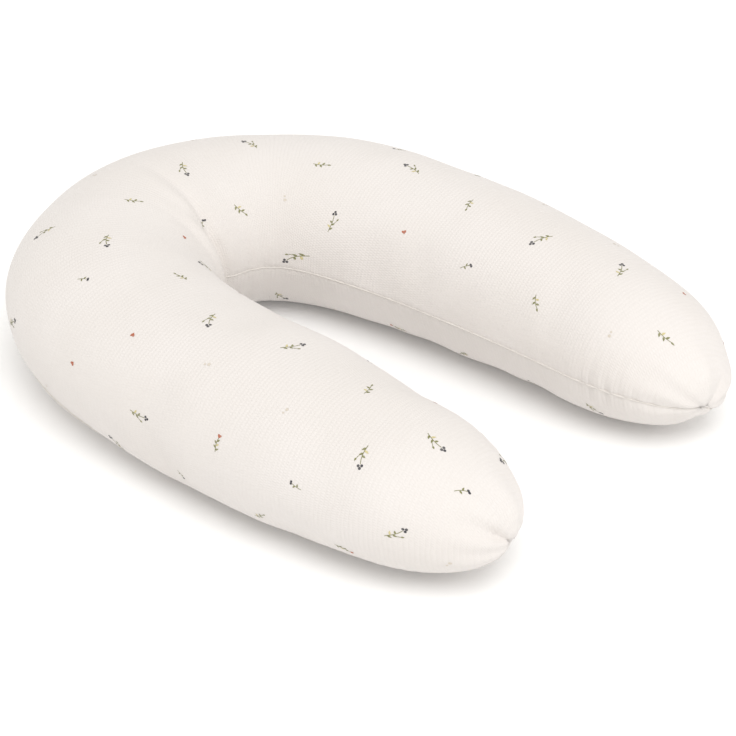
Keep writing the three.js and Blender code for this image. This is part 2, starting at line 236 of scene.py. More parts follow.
def build_panel(name, top):
    """One panel as a flat-laid grid on the wall, closed by one point at each tip."""
    angle, d_out, d_in = panel(top)
    s = STATIONS[:, None] + 0 * angle
    seam_d = np.minimum(d_out, d_in)
    inset = SEAM_INSET + (START_INSET - SEAM_INSET) * (1 - np.exp(-seam_d / SEAM_SOFT))
    zip_on = zip_open(s) * np.exp(-d_out / SEAM_SOFT)
    inset += zip_on * (0.9 + 1.5 * np.exp(-d_out / 0.9) - inset)
    base = wall(s, angle) - outward(s, angle) * inset[..., None]
    base[..., 2] = np.maximum(base[..., 2], START_INSET)
    ring, count = base.shape[:2]
    points = base.reshape(-1, 3)
    ends = np.array([-LENGTH / 2, LENGTH / 2])
    tips = wall(ends, np.zeros(2)) - outward(ends, np.zeros(2)) * SEAM_INSET
    points = np.concatenate([points, tips])
    faces = []
    for r in range(ring - 1):
        for c in range(count - 1):
            a = r * count + c
            faces.append((a, a + 1, a + count + 1, a + count))
    for c in range(count - 1):
        faces.append((ring * count, c + 1, c))
        a = (ring - 1) * count + c
        faces.append((ring * count + 1, a, a + 1))
    mesh = bpy.data.meshes.new(name)
    mesh.from_pydata((points * MM).tolist(), [], faces)
    obj = bpy.data.objects.new(name, mesh)
    scene.collection.objects.link(obj)
    values = {
        "s_mm": np.concatenate([s.reshape(-1), [-LENGTH / 2, LENGTH / 2]]),
        "angle": np.concatenate([angle.reshape(-1), [angle[0].mean(), angle[-1].mean()]]),
        "d_out": np.concatenate([d_out.reshape(-1), [0.0, 0.0]]),
        "d_in": np.concatenate([d_in.reshape(-1), [0.0, 0.0]]),
    }
    for key, value in values.items():
        attribute = mesh.attributes.new(key, "FLOAT", "POINT")
        attribute.data.foreach_set("value", value.astype(np.float32))
    held = np.exp(-np.minimum(values["d_out"], values["d_in"]) / 3.0)
    held[held < 0.05] = 0.0
    group = obj.vertex_groups.new(name="held")
    for i, weight in enumerate(held):
        if weight > 0:
            group.add([i], float(weight), "REPLACE")
    return obj


def vectors_of(items, key):
    """The named vector of every item, as an (n, 3) array."""
    out = np.empty(len(items) * 3, np.float32)
    items.foreach_get(key, out)
    return out.reshape(-1, 3).astype(float)


def coords(obj):
    return vectors_of(obj.data.vertices, "co")


def set_coords(obj, co):
    obj.data.vertices.foreach_set("co", co.astype(np.float32).reshape(-1))
    obj.data.update()


def values_of(obj, key):
    data = obj.data.attributes[key].data
    out = np.empty(len(data), np.float32)
    data.foreach_get("value", out)
    return out.astype(float)


def inflate(obj):
    """Blows the panel up as cloth, with its seams held, and keeps the capped result."""
    base = coords(obj)
    cloth = obj.modifiers.new("Cloth", "CLOTH")
    settings = cloth.settings
    settings.quality = 5
    settings.mass = 0.25
    settings.tension_stiffness = 12
    settings.compression_stiffness = 12
    settings.shear_stiffness = 4
    settings.bending_stiffness = 0.6
    settings.use_pressure = True
    settings.uniform_pressure_force = 4.0
    settings.vertex_group_mass = "held"
    settings.shrink_min = -0.02
    settings.effector_weights.gravity = 0.0
    cloth.collision_settings.use_collision = False
    for f in range(1, CLOTH_FRAMES + 1):
        scene.frame_set(f)
    blown = obj.evaluated_get(bpy.context.evaluated_depsgraph_get())
    move = vectors_of(blown.data.vertices, "co") - base
    rows = len(STATIONS)
    grid = move[: rows * ((len(move) - 2) // rows)].reshape(rows, -1, 3)
    for _ in range(CLOTH_EVENING):
        grid[1:-1] = (grid[:-2] + 2 * grid[1:-1] + grid[2:]) / 4
        grid[:, 4:-4] = (grid[:, 3:-5] + 2 * grid[:, 4:-4] + grid[:, 5:-3]) / 4
    broad = grid.copy()
    for _ in range(BROAD_EVENING):
        broad[1:-1] = (broad[:-2] + 2 * broad[1:-1] + broad[2:]) / 4
        broad[:, 1:-1] = (broad[:, :-2] + 2 * broad[:, 1:-1] + broad[:, 2:]) / 4
    grid -= BROAD_TAKEN * broad
    size = np.linalg.norm(move, axis=1)
    limit = CLOTH_CAP * MM
    keep = limit * np.tanh(size / limit) / np.maximum(size, 1e-9)
    obj.modifiers.remove(cloth)
    scene.frame_set(1)
    set_coords(obj, base + move * keep[:, None])


def subdivide(obj):
    mod = obj.modifiers.new("Smooth", "SUBSURF")
    mod.levels = 1
    mod.render_levels = 1
    graph = bpy.context.evaluated_depsgraph_get()
    mesh = bpy.data.meshes.new_from_object(
        obj.evaluated_get(graph),
        preserve_all_data_layers=True,
        depsgraph=graph,
    )
    obj.modifiers.clear()
    old = obj.data
    name = old.name
    obj.data = mesh
    bpy.data.meshes.remove(old)
    mesh.name = name


def bump(x, width):
    """A bell that is 1 at 0 and near 0 at twice the width."""
    return np.exp(-((x / width) ** 2))


def lie(s, angle):
    """Broad hollows and swells of the soft filling."""
    out = -8.5 * bump(s - 150, 95) * bump(angle - 62, 34)
    out -= 3.0 * bump(s - 640, 60) * bump(angle - 52, 30)
    out += 4.0 * bump(s + 150, 90) * bump(angle - 28, 34)
    out += 8.0 * bump(s + 470, 120) * bump(angle - 140, 34)
    return out


CREASE_LINE = ((70, 86, 120, 150, 170, 200, 240), (2, -3, -12, -36, -34, -24, -20))  # angle, s
CREASE_DEPTH = ((68, 92, 125, 155, 180, 205, 240), (0, 1.6, 4.5, 9, 8, 4, 0))  # angle, depth
CREASE_WIDTH = 7.0
SMALL_FOLDS = (  # place along the arm, depth and lean of the folds beside the crease
    (60, 0.7, 0.25),
    (-56, 1.9, -0.2),
    (104, 0.5, 0.4),
    (-104, 1.2, -0.5),
)
GATHERS_AT, GATHERS_WIDE = 672, 52  # where the gathers of the seams are deepest
TIP_FOLD = ((0, 6, 22, 46), (2.5, 7.0, 4.0, 0))  # from the tip, depth
TIP_FOLD_ANGLE = 38


def wave(s, pitch, bend, bend_pitch, shift=0.0):
    """A wave along the arm whose pitch wanders."""
    return np.sin(s * 2 * math.pi / pitch + bend * np.sin(s / bend_pitch) + shift)


def bend_folds(s, angle):
    """The deep crease up the inside of the bend, and the smaller folds beside it."""
    girth_scale = 1 + section(s)[0] * np.cos(np.radians(angle)) / BEND_RADIUS
    near_bend = smooth((330 - np.abs(s)) / 120)
    wide = 1 + (np.clip(girth_scale, 0.25, 2.0) - 1) * near_bend
    depth = np.interp(angle, *CREASE_DEPTH)
    across = (s - np.interp(angle, *CREASE_LINE)) * wide
    out = -depth * bump(across, CREASE_WIDTH)
    out += depth * (0.42 * bump(across + 17, 9) + 0.14 * bump(across - 24, 15))
    inside = smooth((angle - 95) / 55) * smooth((250 - angle) / 40)
    for at, tall, lean in SMALL_FOLDS:
        shift = (s - at - lean * (angle - 170)) * wide
        out -= tall * inside * bump(shift, 5.5)
        out += 0.5 * tall * inside * bump(shift - 11, 6.5)
    return out


def seam_gathers(s, d_out, d_in):
    """The gathers that run out from both seams, deepest near the tips."""
    near_tip = bump(np.abs(s) - GATHERS_AT, GATHERS_WIDE)
    inner = wave(s, 17.0, 1.7, 37.0, 0.045 * d_in * np.sign(s)) + 0.5 * wave(s, 9.3, 2.1, 23.0)
    fade = (1 - np.exp(-d_in / 2.5)) * np.exp(-d_in / (9 + 26 * near_tip))
    out = (0.28 + 1.25 * near_tip) * inner * fade
    outer = wave(s, 14.0, 1.9, 31.0) + 0.5 * wave(s, 7.9, 1.3, 19.0)
    fade = (1 - np.exp(-d_out / 2.5)) * np.exp(-d_out / (8 + 12 * near_tip))
    calm_by_zip = 1 - 0.6 * smooth((ZIP_HALF + 12 - np.abs(s)) / 14)
    return out + (0.3 + 0.7 * near_tip) * calm_by_zip * outer * fade


def tip_folds(s, angle, seam_d, top):
    """The pucker where the seams meet at each tip, and the fold above it."""
    left = LENGTH / 2 - np.abs(s)
    turn = np.radians(angle)
    rib = np.sin(turn * 9 + 0.8 * np.sin(turn * 2.3) + np.sign(s))
    near = smooth((64 - left) / 50)
    out = 1.1 * near * rib * (1 - np.exp(-left / 6)) * (1 - np.exp(-seam_d / 10))
    if top:
        fold = np.interp(left, *TIP_FOLD)
        out -= fold * bump(angle - TIP_FOLD_ANGLE, 13) * np.where(s < 0, 1.0, 0.55)
        upper = smooth((angle - 50) / 40) * smooth((150 - angle) / 40)
        out += 3.0 * smooth((30 - left) / 26) * upper
    return out


def folds(s, angle, d_out, d_in, top):
    """How far the cloth stands out of its smooth shape."""
    out = lie(s, angle) + bend_folds(s, angle) + seam_gathers(s, d_out, d_in)
    return out + tip_folds(s, angle, np.minimum(d_in, d_out), top)


def lumps(co):
    """Slow unevenness of the filling."""
    out = np.empty(len(co))
    for i, p in enumerate(co):
        v = Vector(p)
        out[i] = 2.3 * noise.noise(v * 6.5) + 1.0 * noise.noise(v * 17 + Vector((3, 1, 7)))
    return out


def flat_cloth(s, angle):
    """Where a point of the wall lies along the arm and round it."""
    w, h, _ = section(s)
    full = np.maximum((w + h) / 2, 30.0)
    return s, np.radians(90.0 - angle) * full


def add_vector(mesh, name, values):
    attribute = mesh.attributes.new(name, "FLOAT_VECTOR", "POINT")
    attribute.data.foreach_set("vector", values.astype(np.float32).reshape(-1))


def mesh_normals(obj):
    return vectors_of(obj.data.vertices, "normal")


def finish_panel(obj, top):
    """Subdivides a panel, moves its folds in and gives it the data that its knit needs."""
    subdivide(obj)
    s = values_of(obj, "s_mm")
    angle = values_of(obj, "angle")
    d_out = values_of(obj, "d_out")
    d_in = values_of(obj, "d_in")
    co = coords(obj)
    seam_d = np.minimum(d_in, d_out)
    edge = 1 - np.exp(-seam_d / SEAM_SOFT)
    away = outward(s, angle) * (1 - edge)[:, None] + mesh_normals(obj) * edge[:, None]
    away /= np.maximum(np.linalg.norm(away, axis=1), 1e-6)[:, None]
    rise = folds(s, angle, d_out, d_in, top) + lumps(co) * edge
    pole = np.where((s < 0)[:, None], co[np.argmin(s)], co[np.argmax(s)])
    away_from_pole = np.linalg.norm(co - pole, axis=1) / MM
    rise -= TIP_TUCK * bump(away_from_pole, TIP_TUCK_WIDE)
    if top:
        lobe = bump(away_from_pole - TIP_LOBE_AT, TIP_LOBE_WIDE)
        rise += TIP_LOBE * lobe * (1 - np.exp(-seam_d / 30))
    co = co + away * rise[:, None] * MM
    co[:, 2] = np.maximum(co[:, 2], 0.0)
    co[np.abs(s) < 1e-3, 0] = 0.0
    set_coords(obj, co)
    u, v = flat_cloth(s, angle)
    add_vector(obj.data, "weave", np.stack([u, v, s], -1))
    for poly in obj.data.polygons:
        poly.use_smooth = True
    obj.data.update()
    add_vector(obj.data, "whole_normal", mesh_normals(obj))


# ---- Node materials
class Nodes:
    """Short way to write a node tree."""

    def __init__(self, name):
        self.mat = bpy.data.materials.new(name)
        self.mat.use_nodes = True
        self.tree = self.mat.node_tree
        self.tree.nodes.clear()
        self.out = self.tree.nodes.new("ShaderNodeOutputMaterial")
        self.bsdf = self.tree.nodes.new("ShaderNodeBsdfPrincipled")
        self.tree.links.new(self.bsdf.outputs[0], self.out.inputs[0])

    def put(self, socket, value):
        if isinstance(value, bpy.types.NodeSocket):
            self.tree.links.new(value, socket)
        else:
            socket.default_value = value

    def math(self, op, a, b=0.0):
        n = self.tree.nodes.new("ShaderNodeMath")
        n.operation = op
        self.put(n.inputs[0], a)
        self.put(n.inputs[1], b)
        return n.outputs[0]

    def times(self, a, b):
        return self.math("MULTIPLY", a, b)

    def plus(self, a, b):
        return self.math("ADD", a, b)

    def attribute(self, name):
        n = self.tree.nodes.new("ShaderNodeAttribute")
        n.attribute_name = name
        return n.outputs["Vector"]

    def split(self, vector):
        n = self.tree.nodes.new("ShaderNodeSeparateXYZ")
        self.put(n.inputs[0], vector)
        return n.outputs

    def place(self):
        return self.tree.nodes.new("ShaderNodeTexCoord").outputs["Object"]

    def noise(self, scale, detail):
        n = self.tree.nodes.new("ShaderNodeTexNoise")
        n.inputs["Scale"].default_value = scale
        n.inputs["Detail"].default_value = detail
        n.inputs["Roughness"].default_value = 0.5
        self.put(n.inputs["Vector"], self.place())
        return n.outputs["Fac"]

    def mix(self, fac, a, b):
        n = self.tree.nodes.new("ShaderNodeMix")
        n.data_type = "RGBA"
        self.put(n.inputs["Factor"], fac)
        self.put(n.inputs[6], a)
        self.put(n.inputs[7], b)
        return n.outputs[2]

    def ramp(self, value, low, high):
        n = self.tree.nodes.new("ShaderNodeMapRange")
        self.put(n.inputs["Value"], value)
        n.inputs["From Min"].default_value = low
        n.inputs["From Max"].default_value = high
        return n.outputs["Result"]

    def bump(self, height, strength, distance):
        n = self.tree.nodes.new("ShaderNodeBump")
        n.inputs["Strength"].default_value = strength
        n.inputs["Distance"].default_value = distance
        self.put(n.inputs["Height"], height)
        self.put(self.bsdf.inputs["Normal"], n.outputs[0])

    def set(self, **values):
        for key, value in values.items():
            self.put(self.bsdf.inputs[key.replace("_", " ")], value)


def rgb(r, g, b):
    return (r, g, b, 1.0)


def waffle(n):
    """Height of the crinkled knit: columns of small dashes that run round the arms."""
    along, girth, _ = n.split(n.attribute("weave"))
    wobble = n.times(n.math("SUBTRACT", n.noise(26.0, 2.0), 0.5), 6.0)
    col = n.math("DIVIDE", n.plus(along, wobble), COLUMN_PITCH)
    odd_column = n.math("FRACT", n.times(n.math("FLOOR", col), 0.5))
    shift = n.times(odd_column, DASH_PITCH)
    ridge = n.math("SINE", n.times(n.math("FRACT", col), math.pi))
    row = n.math("DIVIDE", n.plus(girth, shift), DASH_PITCH)
    dash = n.math("POWER", n.math("SINE", n.times(n.math("FRACT", row), math.pi)), 0.6)
    dash = n.plus(n.times(dash, 0.85), 0.15)
    cell = n.times(n.math("POWER", ridge, 0.8), dash)
    return n.plus(cell, n.times(n.noise(900.0, 3.0), 0.45)), cell


def shade_gaps(n, cell, base, shade):
    """Mixes a colour into the gaps between the dashes of the knit; on the plain knit this is
    painted shade in the hollows.
    """
    return n.mix(n.times(n.math("SUBTRACT", 1.0, cell), 0.22), base, shade)


def knit_material(name, colour, shade):
    n = Nodes(name)
    height, cell = waffle(n)
    cloud = n.ramp(n.noise(9.0, 3.0), 0.35, 0.65)
    speck = n.ramp(n.noise(420.0, 2.0), 0.3, 0.7)
    base = n.mix(n.times(cloud, 0.35), colour, shade)
    # painted shade: the gaps between the knit's dashes darken toward the shade colour
    base = shade_gaps(n, cell, base, shade)
    base = n.mix(n.times(speck, 0.06), base, rgb(1, 1, 1))
    n.set(Base_Color=base, Roughness=n.plus(0.86, n.times(speck, 0.1)))
    n.set(Sheen_Weight=0.25, Sheen_Roughness=0.5, Specular_IOR_Level=0.25)
    n.bump(height, 0.42, 0.0009)
    return n.mat


def plain_cloth(name, colour, shade, scale=1400.0, rough=0.9):
    n = Nodes(name)
    x, y, z = n.split(n.place())
    warp = n.math("SINE", n.times(n.plus(x, y), scale * 2))
    weft = n.math("SINE", n.times(n.math("SUBTRACT", x, n.plus(y, z)), scale * 2))
    weave = n.times(warp, weft)
    cloud = n.ramp(n.noise(30.0, 3.0), 0.3, 0.7)
    n.set(Base_Color=n.mix(n.times(cloud, 0.5), colour, shade))
    n.set(Roughness=n.plus(rough - 0.05, n.times(cloud, 0.08)))
    n.set(Sheen_Weight=0.15)
    n.bump(weave, 0.3, 0.0002)
    return n.mat


def print_material(name, colour, shade):
    n = Nodes(name)
    height, cell = waffle(n)
    patch = n.ramp(n.noise(700.0, 3.0), 0.3, 0.7)
    base = shade_gaps(n, cell, n.mix(patch, colour, shade), rgb(0.72, 0.68, 0.6))
    n.set(Base_Color=base, Roughness=0.9, Sheen_Weight=0.1, Specular_IOR_Level=0.2)
    n.bump(height, 0.4, 0.0009)
    return n.mat


def metal_material(name, colour):
    n = Nodes(name)
    scratch = n.noise(1800.0, 4.0)
    n.set(Base_Color=n.mix(n.times(scratch, 0.3), colour, rgb(0.45, 0.44, 0.42)))
    n.set(Metallic=1.0, Roughness=n.plus(0.22, n.times(scratch, 0.2)))
    n.bump(scratch, 0.08, 0.0001)
    return n.mat


def nylon_material(name, colour):
    n = Nodes(name)
    patch = n.noise(600.0, 3.0)
    n.set(Base_Color=n.mix(n.times(patch, 0.3), colour, rgb(0.62, 0.59, 0.53)))
    n.set(Roughness=n.plus(0.38, n.times(patch, 0.15)))
    n.bump(patch, 0.1, 0.0001)
    return n.mat


CREAM = rgb(0.80, 0.76, 0.735)
# the darker cream is the random clouds of the knit's tone and the painted shade in the gaps between
# its dashes
CREAM_CLOUD_AND_GAP_SHADE = rgb(0.74, 0.695, 0.655)
knit = knit_material("cover_knit_cloth", CREAM, CREAM_CLOUD_AND_GAP_SHADE)
# the seam lip is the cover's knit in a darker cream: painted shade that dims the raised lip
shaded_lip_cloth = knit_material("seam_cloth", rgb(0.76, 0.722, 0.67), CREAM)
THREAD_SHADE = rgb(0.66, 0.62, 0.55)
thread = plain_cloth("seam_thread", rgb(0.80, 0.77, 0.70), THREAD_SHADE, 2600.0, 0.7)
casing_cloth = plain_cloth("casing_cloth", rgb(0.82, 0.81, 0.77), rgb(0.74, 0.72, 0.67))
fibre = plain_cloth("filling_fibre", rgb(0.86, 0.86, 0.84), rgb(0.78, 0.78, 0.76), 500.0)
tape_cloth = plain_cloth("zip_tape_cloth", rgb(0.78, 0.74, 0.67), THREAD_SHADE, 2400.0, 0.8)
nylon = nylon_material("zip_nylon_teeth", rgb(0.80, 0.77, 0.70))
metal = metal_material("zip_plated_metal", rgb(0.72, 0.71, 0.68))
label_cloth = plain_cloth("label_ribbon", rgb(0.90, 0.90, 0.90), rgb(0.82, 0.82, 0.82), 3000.0, 0.6)
PRINTS = [
    print_material("print_green", rgb(0.16, 0.17, 0.06), rgb(0.27, 0.26, 0.10)),
    print_material("print_navy", rgb(0.018, 0.019, 0.034), rgb(0.045, 0.045, 0.062)),
    print_material("print_red", rgb(0.40, 0.085, 0.045), rgb(0.50, 0.16, 0.08)),
    print_material("print_yellow", rgb(0.60, 0.52, 0.22), rgb(0.68, 0.60, 0.34)),
    print_material("print_pale", rgb(0.66, 0.59, 0.51), rgb(0.72, 0.66, 0.58)),
]


# ---- The cover: both panels, inflated and then folded
top_panel = build_panel("cover_top", True)
bottom_panel = build_panel("cover_bottom", False)
for whole in (top_panel, bottom_panel):
    inflate(whole)
for whole in (top_panel, bottom_panel):
    finish_panel(whole, whole is top_panel)
    whole.data.materials.append(knit)

# ---- The floor, the camera and the light
bpy.ops.mesh.primitive_plane_add(size=16)
floor = bpy.context.object
floor.name = "floor"
white = Nodes("floor_white")
white.set(Base_Color=rgb(0.95, 0.95, 0.95), Roughness=0.9, Specular_IOR_Level=0.1)
white.set(Emission_Color=rgb(1, 1, 1), Emission_Strength=0.05)
floor.data.materials.append(white.mat)
floor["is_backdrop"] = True

# fitted to the pillow's outline in the photograph, in degrees and metres
AZIMUTH = math.radians(-48.63)
ELEVATION = math.radians(32.31)
DISTANCE = 3.148
TARGET = Vector((-0.0211, -0.0666, 0.060))
LENS, SENSOR = 143.5, 36.0

# metres; both look at the middle of the pillow
KEY_FROM = Vector((-0.75, -0.95, 2.4))
FILL_FROM = Vector((-0.1, -2.0, 1.1))


def set_up(name, data, place, look):
    """Puts a camera or a light in the scene, turned to look along a direction."""
    obj = bpy.data.objects.new(name, data)
    obj.location = place
    obj.rotation_euler = look.to_track_quat("-Z", "Y").to_euler()
    scene.collection.objects.link(obj)
    return obj


back = Vector((
    math.sin(AZIMUTH) * math.cos(ELEVATION),
    -math.cos(AZIMUTH) * math.cos(ELEVATION),
    math.sin(ELEVATION),
))
cam_data = bpy.data.cameras.new("camera")
cam_data.lens = LENS
cam_data.sensor_width = SENSOR
cam_data.clip_end = 50
bpy.context.scene.camera = set_up("camera", cam_data, TARGET + back * DISTANCE, -back)

scene.view_settings.view_transform = "Standard"
scene.world = bpy.data.worlds.new("studio")
scene.world.use_nodes = True
backdrop = scene.world.node_tree.nodes["Background"]
backdrop.inputs["Color"].default_value = (1.0, 0.985, 0.955, 1)
backdrop.inputs["Strength"].default_value = 0.745

# one broad soft light from above and a little to the camera's side
key = bpy.data.lights.new("overhead", "SUN")
key.energy = 1.36
key.angle = math.radians(38)
set_up("overhead", key, KEY_FROM, -KEY_FROM)

# and a weak one that looks in between the arms
fill = bpy.data.lights.new("fill", "AREA")
fill.shape = "SQUARE"
fill.size = 1.2
fill.energy = 3
set_up("fill", fill, FILL_FROM, -FILL_FROM)

# ---- Halves on both sides of the middle of the back
SIDES = ((-1, "left"), (1, "right"))


def seat_on_arm(piece, side, where):
    """Bakes a finished half's placement into its mesh."""
    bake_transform(piece)


def link_mesh(name, verts, faces, materials, indices=None):
    mesh = bpy.data.meshes.new(name)
    mesh.from_pydata([tuple(v) for v in verts], [], faces)
    for m in materials:
        mesh.materials.append(m)
    if indices is not None:
        mesh.polygons.foreach_set("material_index", indices)
    for poly in mesh.polygons:
        poly.use_smooth = True
    mesh.update()
    obj = bpy.data.objects.new(name, mesh)
    scene.collection.objects.link(obj)
    return obj


def ring_quads(faces, rings, count, start=0, flip=False):
    """Adds the quads between rings of points, count to a ring."""
    for j in range(rings - 1):
        for k in range(count):
            a = start + j * count + k
            b = start + j * count + (k + 1) % count
            faces.append((a, a + count, b + count, b) if flip else (a, b, b + count, a + count))


def place(piece, body, node, slot):
    """A piece that rides on one body in place of a CAD node."""
    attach(piece, body)
    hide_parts(node)


def half_of(obj, side, name):
    """The half of a piece on one side of x = 0, with the whole piece's shading kept."""
    bm = bmesh.new()
    bm.from_mesh(obj.data)
    bmesh.ops.bisect_plane(
        bm,
        geom=bm.verts[:] + bm.edges[:] + bm.faces[:],
        dist=1e-6,
        plane_co=(0, 0, 0),
        plane_no=(1, 0, 0),
        clear_inner=side > 0,
        clear_outer=side < 0,
    )
    mesh = bpy.data.meshes.new(name)
    bm.to_mesh(mesh)
    bm.free()
    for material in obj.data.materials:
        mesh.materials.append(material)
    for poly in mesh.polygons:
        poly.use_smooth = True
    normals = vectors_of(mesh.attributes["whole_normal"].data, "vector")
    mesh.normals_split_custom_set_from_vertices(normals.tolist())
    half = bpy.data.objects.new(name, mesh)
    scene.collection.objects.link(half)
    return half


# the finished cover, to lay the print, the seams and the label on
skin_points = np.concatenate([coords(top_panel), coords(bottom_panel)])
first_of_bottom = len(top_panel.data.vertices)
skin_faces = [list(f.vertices) for f in top_panel.data.polygons]
skin_faces += [[first_of_bottom + i for i in f.vertices] for f in bottom_panel.data.polygons]
SKIN = BVHTree.FromPolygons([Vector(c) for c in skin_points], skin_faces)
REACH = 30.0  # how far out of the wall the search for the cover starts


def on_skin(s, degrees, lift=0.0):
    """The point of the cover at a place on the wall, lifted off it, in metres."""
    here = wall(s, degrees)
    away = Vector(outward(s, degrees))
    start = Vector(here) * MM + away * REACH * MM
    hit, normal, _, _ = SKIN.ray_cast(start, -away, 2 * REACH * MM)
    if hit is None:
        hit, normal, _, _ = SKIN.find_nearest(Vector(here) * MM)
    if normal.dot(away) < 0:
        normal = -normal
    return hit + normal * lift * MM, normal


# ---- Seams
def seam_line(inner):
    """Points of a seam from tip to tip, in metres, with outward directions."""
    s = values_of(top_panel, "s_mm")
    d = values_of(top_panel, "d_in" if inner else "d_out")
    pick = np.where((d < 1e-3) & (np.abs(s) < LENGTH / 2 - 0.5))[0]
    pick = pick[np.argsort(s[pick])]
    angle = values_of(top_panel, "angle")[pick]
    return coords(top_panel)[pick], outward(s[pick], angle), s[pick]


def tube(points, aways, radii, sides):
    """Rings of a tube along points, with flat ends."""
    verts, faces = [], []
    count = len(points)
    along = np.gradient(points, axis=0)
    for i in range(count):
        t = Vector(along[i]).normalized()
        u = Vector(aways[i])
        u = (u - t * u.dot(t)).normalized()
        v = t.cross(u)
        for k in range(sides):
            a = 2 * math.pi * k / sides
            verts.append(Vector(points[i]) + (u * math.cos(a) + v * math.sin(a)) * radii[i])
    ring_quads(faces, count, sides, flip=True)
    faces.append(list(range(sides)))
    faces.append([(count - 1) * sides + k for k in reversed(range(sides))])
    return verts, faces


def with_weave(obj, places):
    """Gives a small piece the cover's weave, from its own places on the wall."""
    add_vector(obj.data, "weave", np.asarray(places, float))


LIP_RADIUS = 0.95
LIP_SIDES = 8
for inner in (True, False):
    points, aways, at = seam_line(inner)
    name = "inner" if inner else "outer"
    for side, where in SIDES:
        keep = at * side >= -1e-3
        if not inner:
            keep &= np.abs(at) > ZIP_HALF + 2
        p, o, s = points[keep], aways[keep], at[keep]
        swell = 1 + 0.16 * np.sin(s / 2.9) + 0.12 * np.sin(s / 7.3 + 1)
        ends = smooth((LENGTH / 2 - np.abs(s)) / 30) * 0.6 + 0.4
        radii = LIP_RADIUS * swell * ends * MM
        verts, faces = tube(p + o * 0.25 * MM, o, radii, LIP_SIDES)
        lip = link_mesh(f"seam_{name}_{where}", verts, faces, [shaded_lip_cloth])
        along = np.repeat(s, LIP_SIDES)
        with_weave(lip, np.stack([along, np.tile(np.arange(LIP_SIDES) * 0.9, len(s)), along], -1))
        seat_on_arm(lip, side, where)

# ---- The print: small sprigs, hearts and dots of the cover's own pattern
# A shape is (outline, colour), and a motif is a list of shapes about its own middle.
GREEN, NAVY, RED, YELLOW, PALE = range(5)


def turned(outline, x, y, turn):
    """An outline turned and then moved to a place."""
    c, d = math.cos(turn), math.sin(turn)
    return [(x + c * px - d * py, y + d * px + c * py) for px, py in outline]


def leaf(x, y, turn, long, wide, colour):
    """An oval leaf that starts at its stalk."""
    steps = 5
    rise = [wide / 2 * math.sin(math.pi * (i / steps) ** 0.8) for i in range(steps + 1)]
    edge = [(long * i / steps, py) for i, py in enumerate(rise)]
    edge += [(px, -py) for px, py in edge[-2:0:-1]]
    return turned(edge, x, y, turn), colour


def dot(x, y, radius, colour):
    turns = [i * math.pi / 4 for i in range(8)]
    return [(x + radius * math.cos(a), y + radius * math.sin(a)) for a in turns], colour


def heart(x, y, size, turn, colour):
    edge = []
    for i in range(14):
        a = 2 * math.pi * (i + 0.5) / 14
        px = 16 * math.sin(a) ** 3
        py = 13 * math.cos(a) - 5 * math.cos(2 * a) - 2 * math.cos(3 * a) - math.cos(4 * a)
        edge.append((px * size / 34, py * size / 34))
    return turned(edge, x, y, turn), colour


def stalk(points, width, colour):
    """A thin line as one quad for each step."""
    out = []
    for (x0, y0), (x1, y1) in zip(points, points[1:]):
        k = math.hypot(x1 - x0, y1 - y0) or 1.0
        nx, ny = -(y1 - y0) / k * width / 2, (x1 - x0) / k * width / 2
        quad = [(x0 + nx, y0 + ny), (x0 - nx, y0 - ny), (x1 - nx, y1 - ny), (x1 + nx, y1 + ny)]
        out.append((quad, colour))
    return out


def bent(length, sway, steps=7):
    """Points of a slightly bent stalk."""
    return [(sway * math.sin(2.2 * i / steps), length * i / steps) for i in range(steps + 1)]


def berry_sprig(size=1.0):
    line = bent(17 * size, 2.2 * size)
    shapes = stalk(line, 0.75, GREEN)
    for i, (turn, long) in enumerate(((0.6, 4.2), (2.6, 4.6), (0.5, 3.8), (2.7, 3.4))):
        x, y = line[1 + i]
        shapes.append(leaf(x, y, turn, long * size, 1.9 * size, GREEN if i != 1 else YELLOW))
    x, y = line[3]
    branch = [(x, y), (x + 2.5 * size, y + 1.8 * size), (x + 4.6 * size, y + 4.6 * size)]
    shapes += stalk(branch, 0.6, GREEN)
    shapes.append(leaf(*branch[-1], 1.1, 3.2 * size, 1.6 * size, GREEN))
    x, y = line[-1]
    for dx, dy in ((-1.4, 1.2), (1.5, 1.5), (0.1, 3.6)):
        shapes.append(dot(x + dx * size, y + dy * size, 1.3 * size, NAVY))
    return shapes


def heart_sprig(size=1.0):
    line = bent(14 * size, -1.6 * size)
    shapes = stalk(line, 0.75, GREEN)
    for i, turn in ((1, 0.7), (2, 2.5), (3, 0.8), (4, 2.4), (5, 0.9)):
        shapes.append(leaf(*line[i], turn, 3.8 * size, 1.7 * size, GREEN if i != 3 else YELLOW))
    shapes.append(heart(line[-1][0], line[-1][1] + 1.8 * size, 4.6 * size, 0.0, RED))
    return shapes


def leaf_twig(size=1.0):
    line = bent(13 * size, 1.8 * size, 6)
    shapes = stalk(line, 0.65, GREEN)
    for i, turn in ((1, 0.4), (2, 2.7), (3, 0.5), (4, 2.6)):
        shapes.append(leaf(*line[i], turn, 4.0 * size, 1.8 * size, GREEN if i != 2 else YELLOW))
    shapes.append(leaf(*line[-1], 1.5, 3.6 * size, 1.7 * size, GREEN))
    return shapes


def bud_twig(size=1.0):
    line = bent(10 * size, -1.2 * size, 5)
    shapes = stalk(line, 0.6, GREEN)
    shapes.append(leaf(*line[2], 0.5, 3.4 * size, 1.5 * size, GREEN))
    shapes.append(leaf(*line[3], 2.6, 3.0 * size, 1.4 * size, GREEN))
    shapes.append(dot(line[-1][0] - 0.9, line[-1][1] + 0.6, 1.15 * size, NAVY))
    shapes.append(dot(line[-1][0] + 1.1, line[-1][1] + 1.4, 1.15 * size, NAVY))
    return shapes


def lone_heart(size=1.0):
    return [heart(0, 0, 4.8 * size, 0.2, RED)]


def faint_dots(size=1.0):
    return [dot(0, 0, 1.5 * size, PALE), dot(3.6 * size, 1.4 * size, 1.0 * size, PALE)]


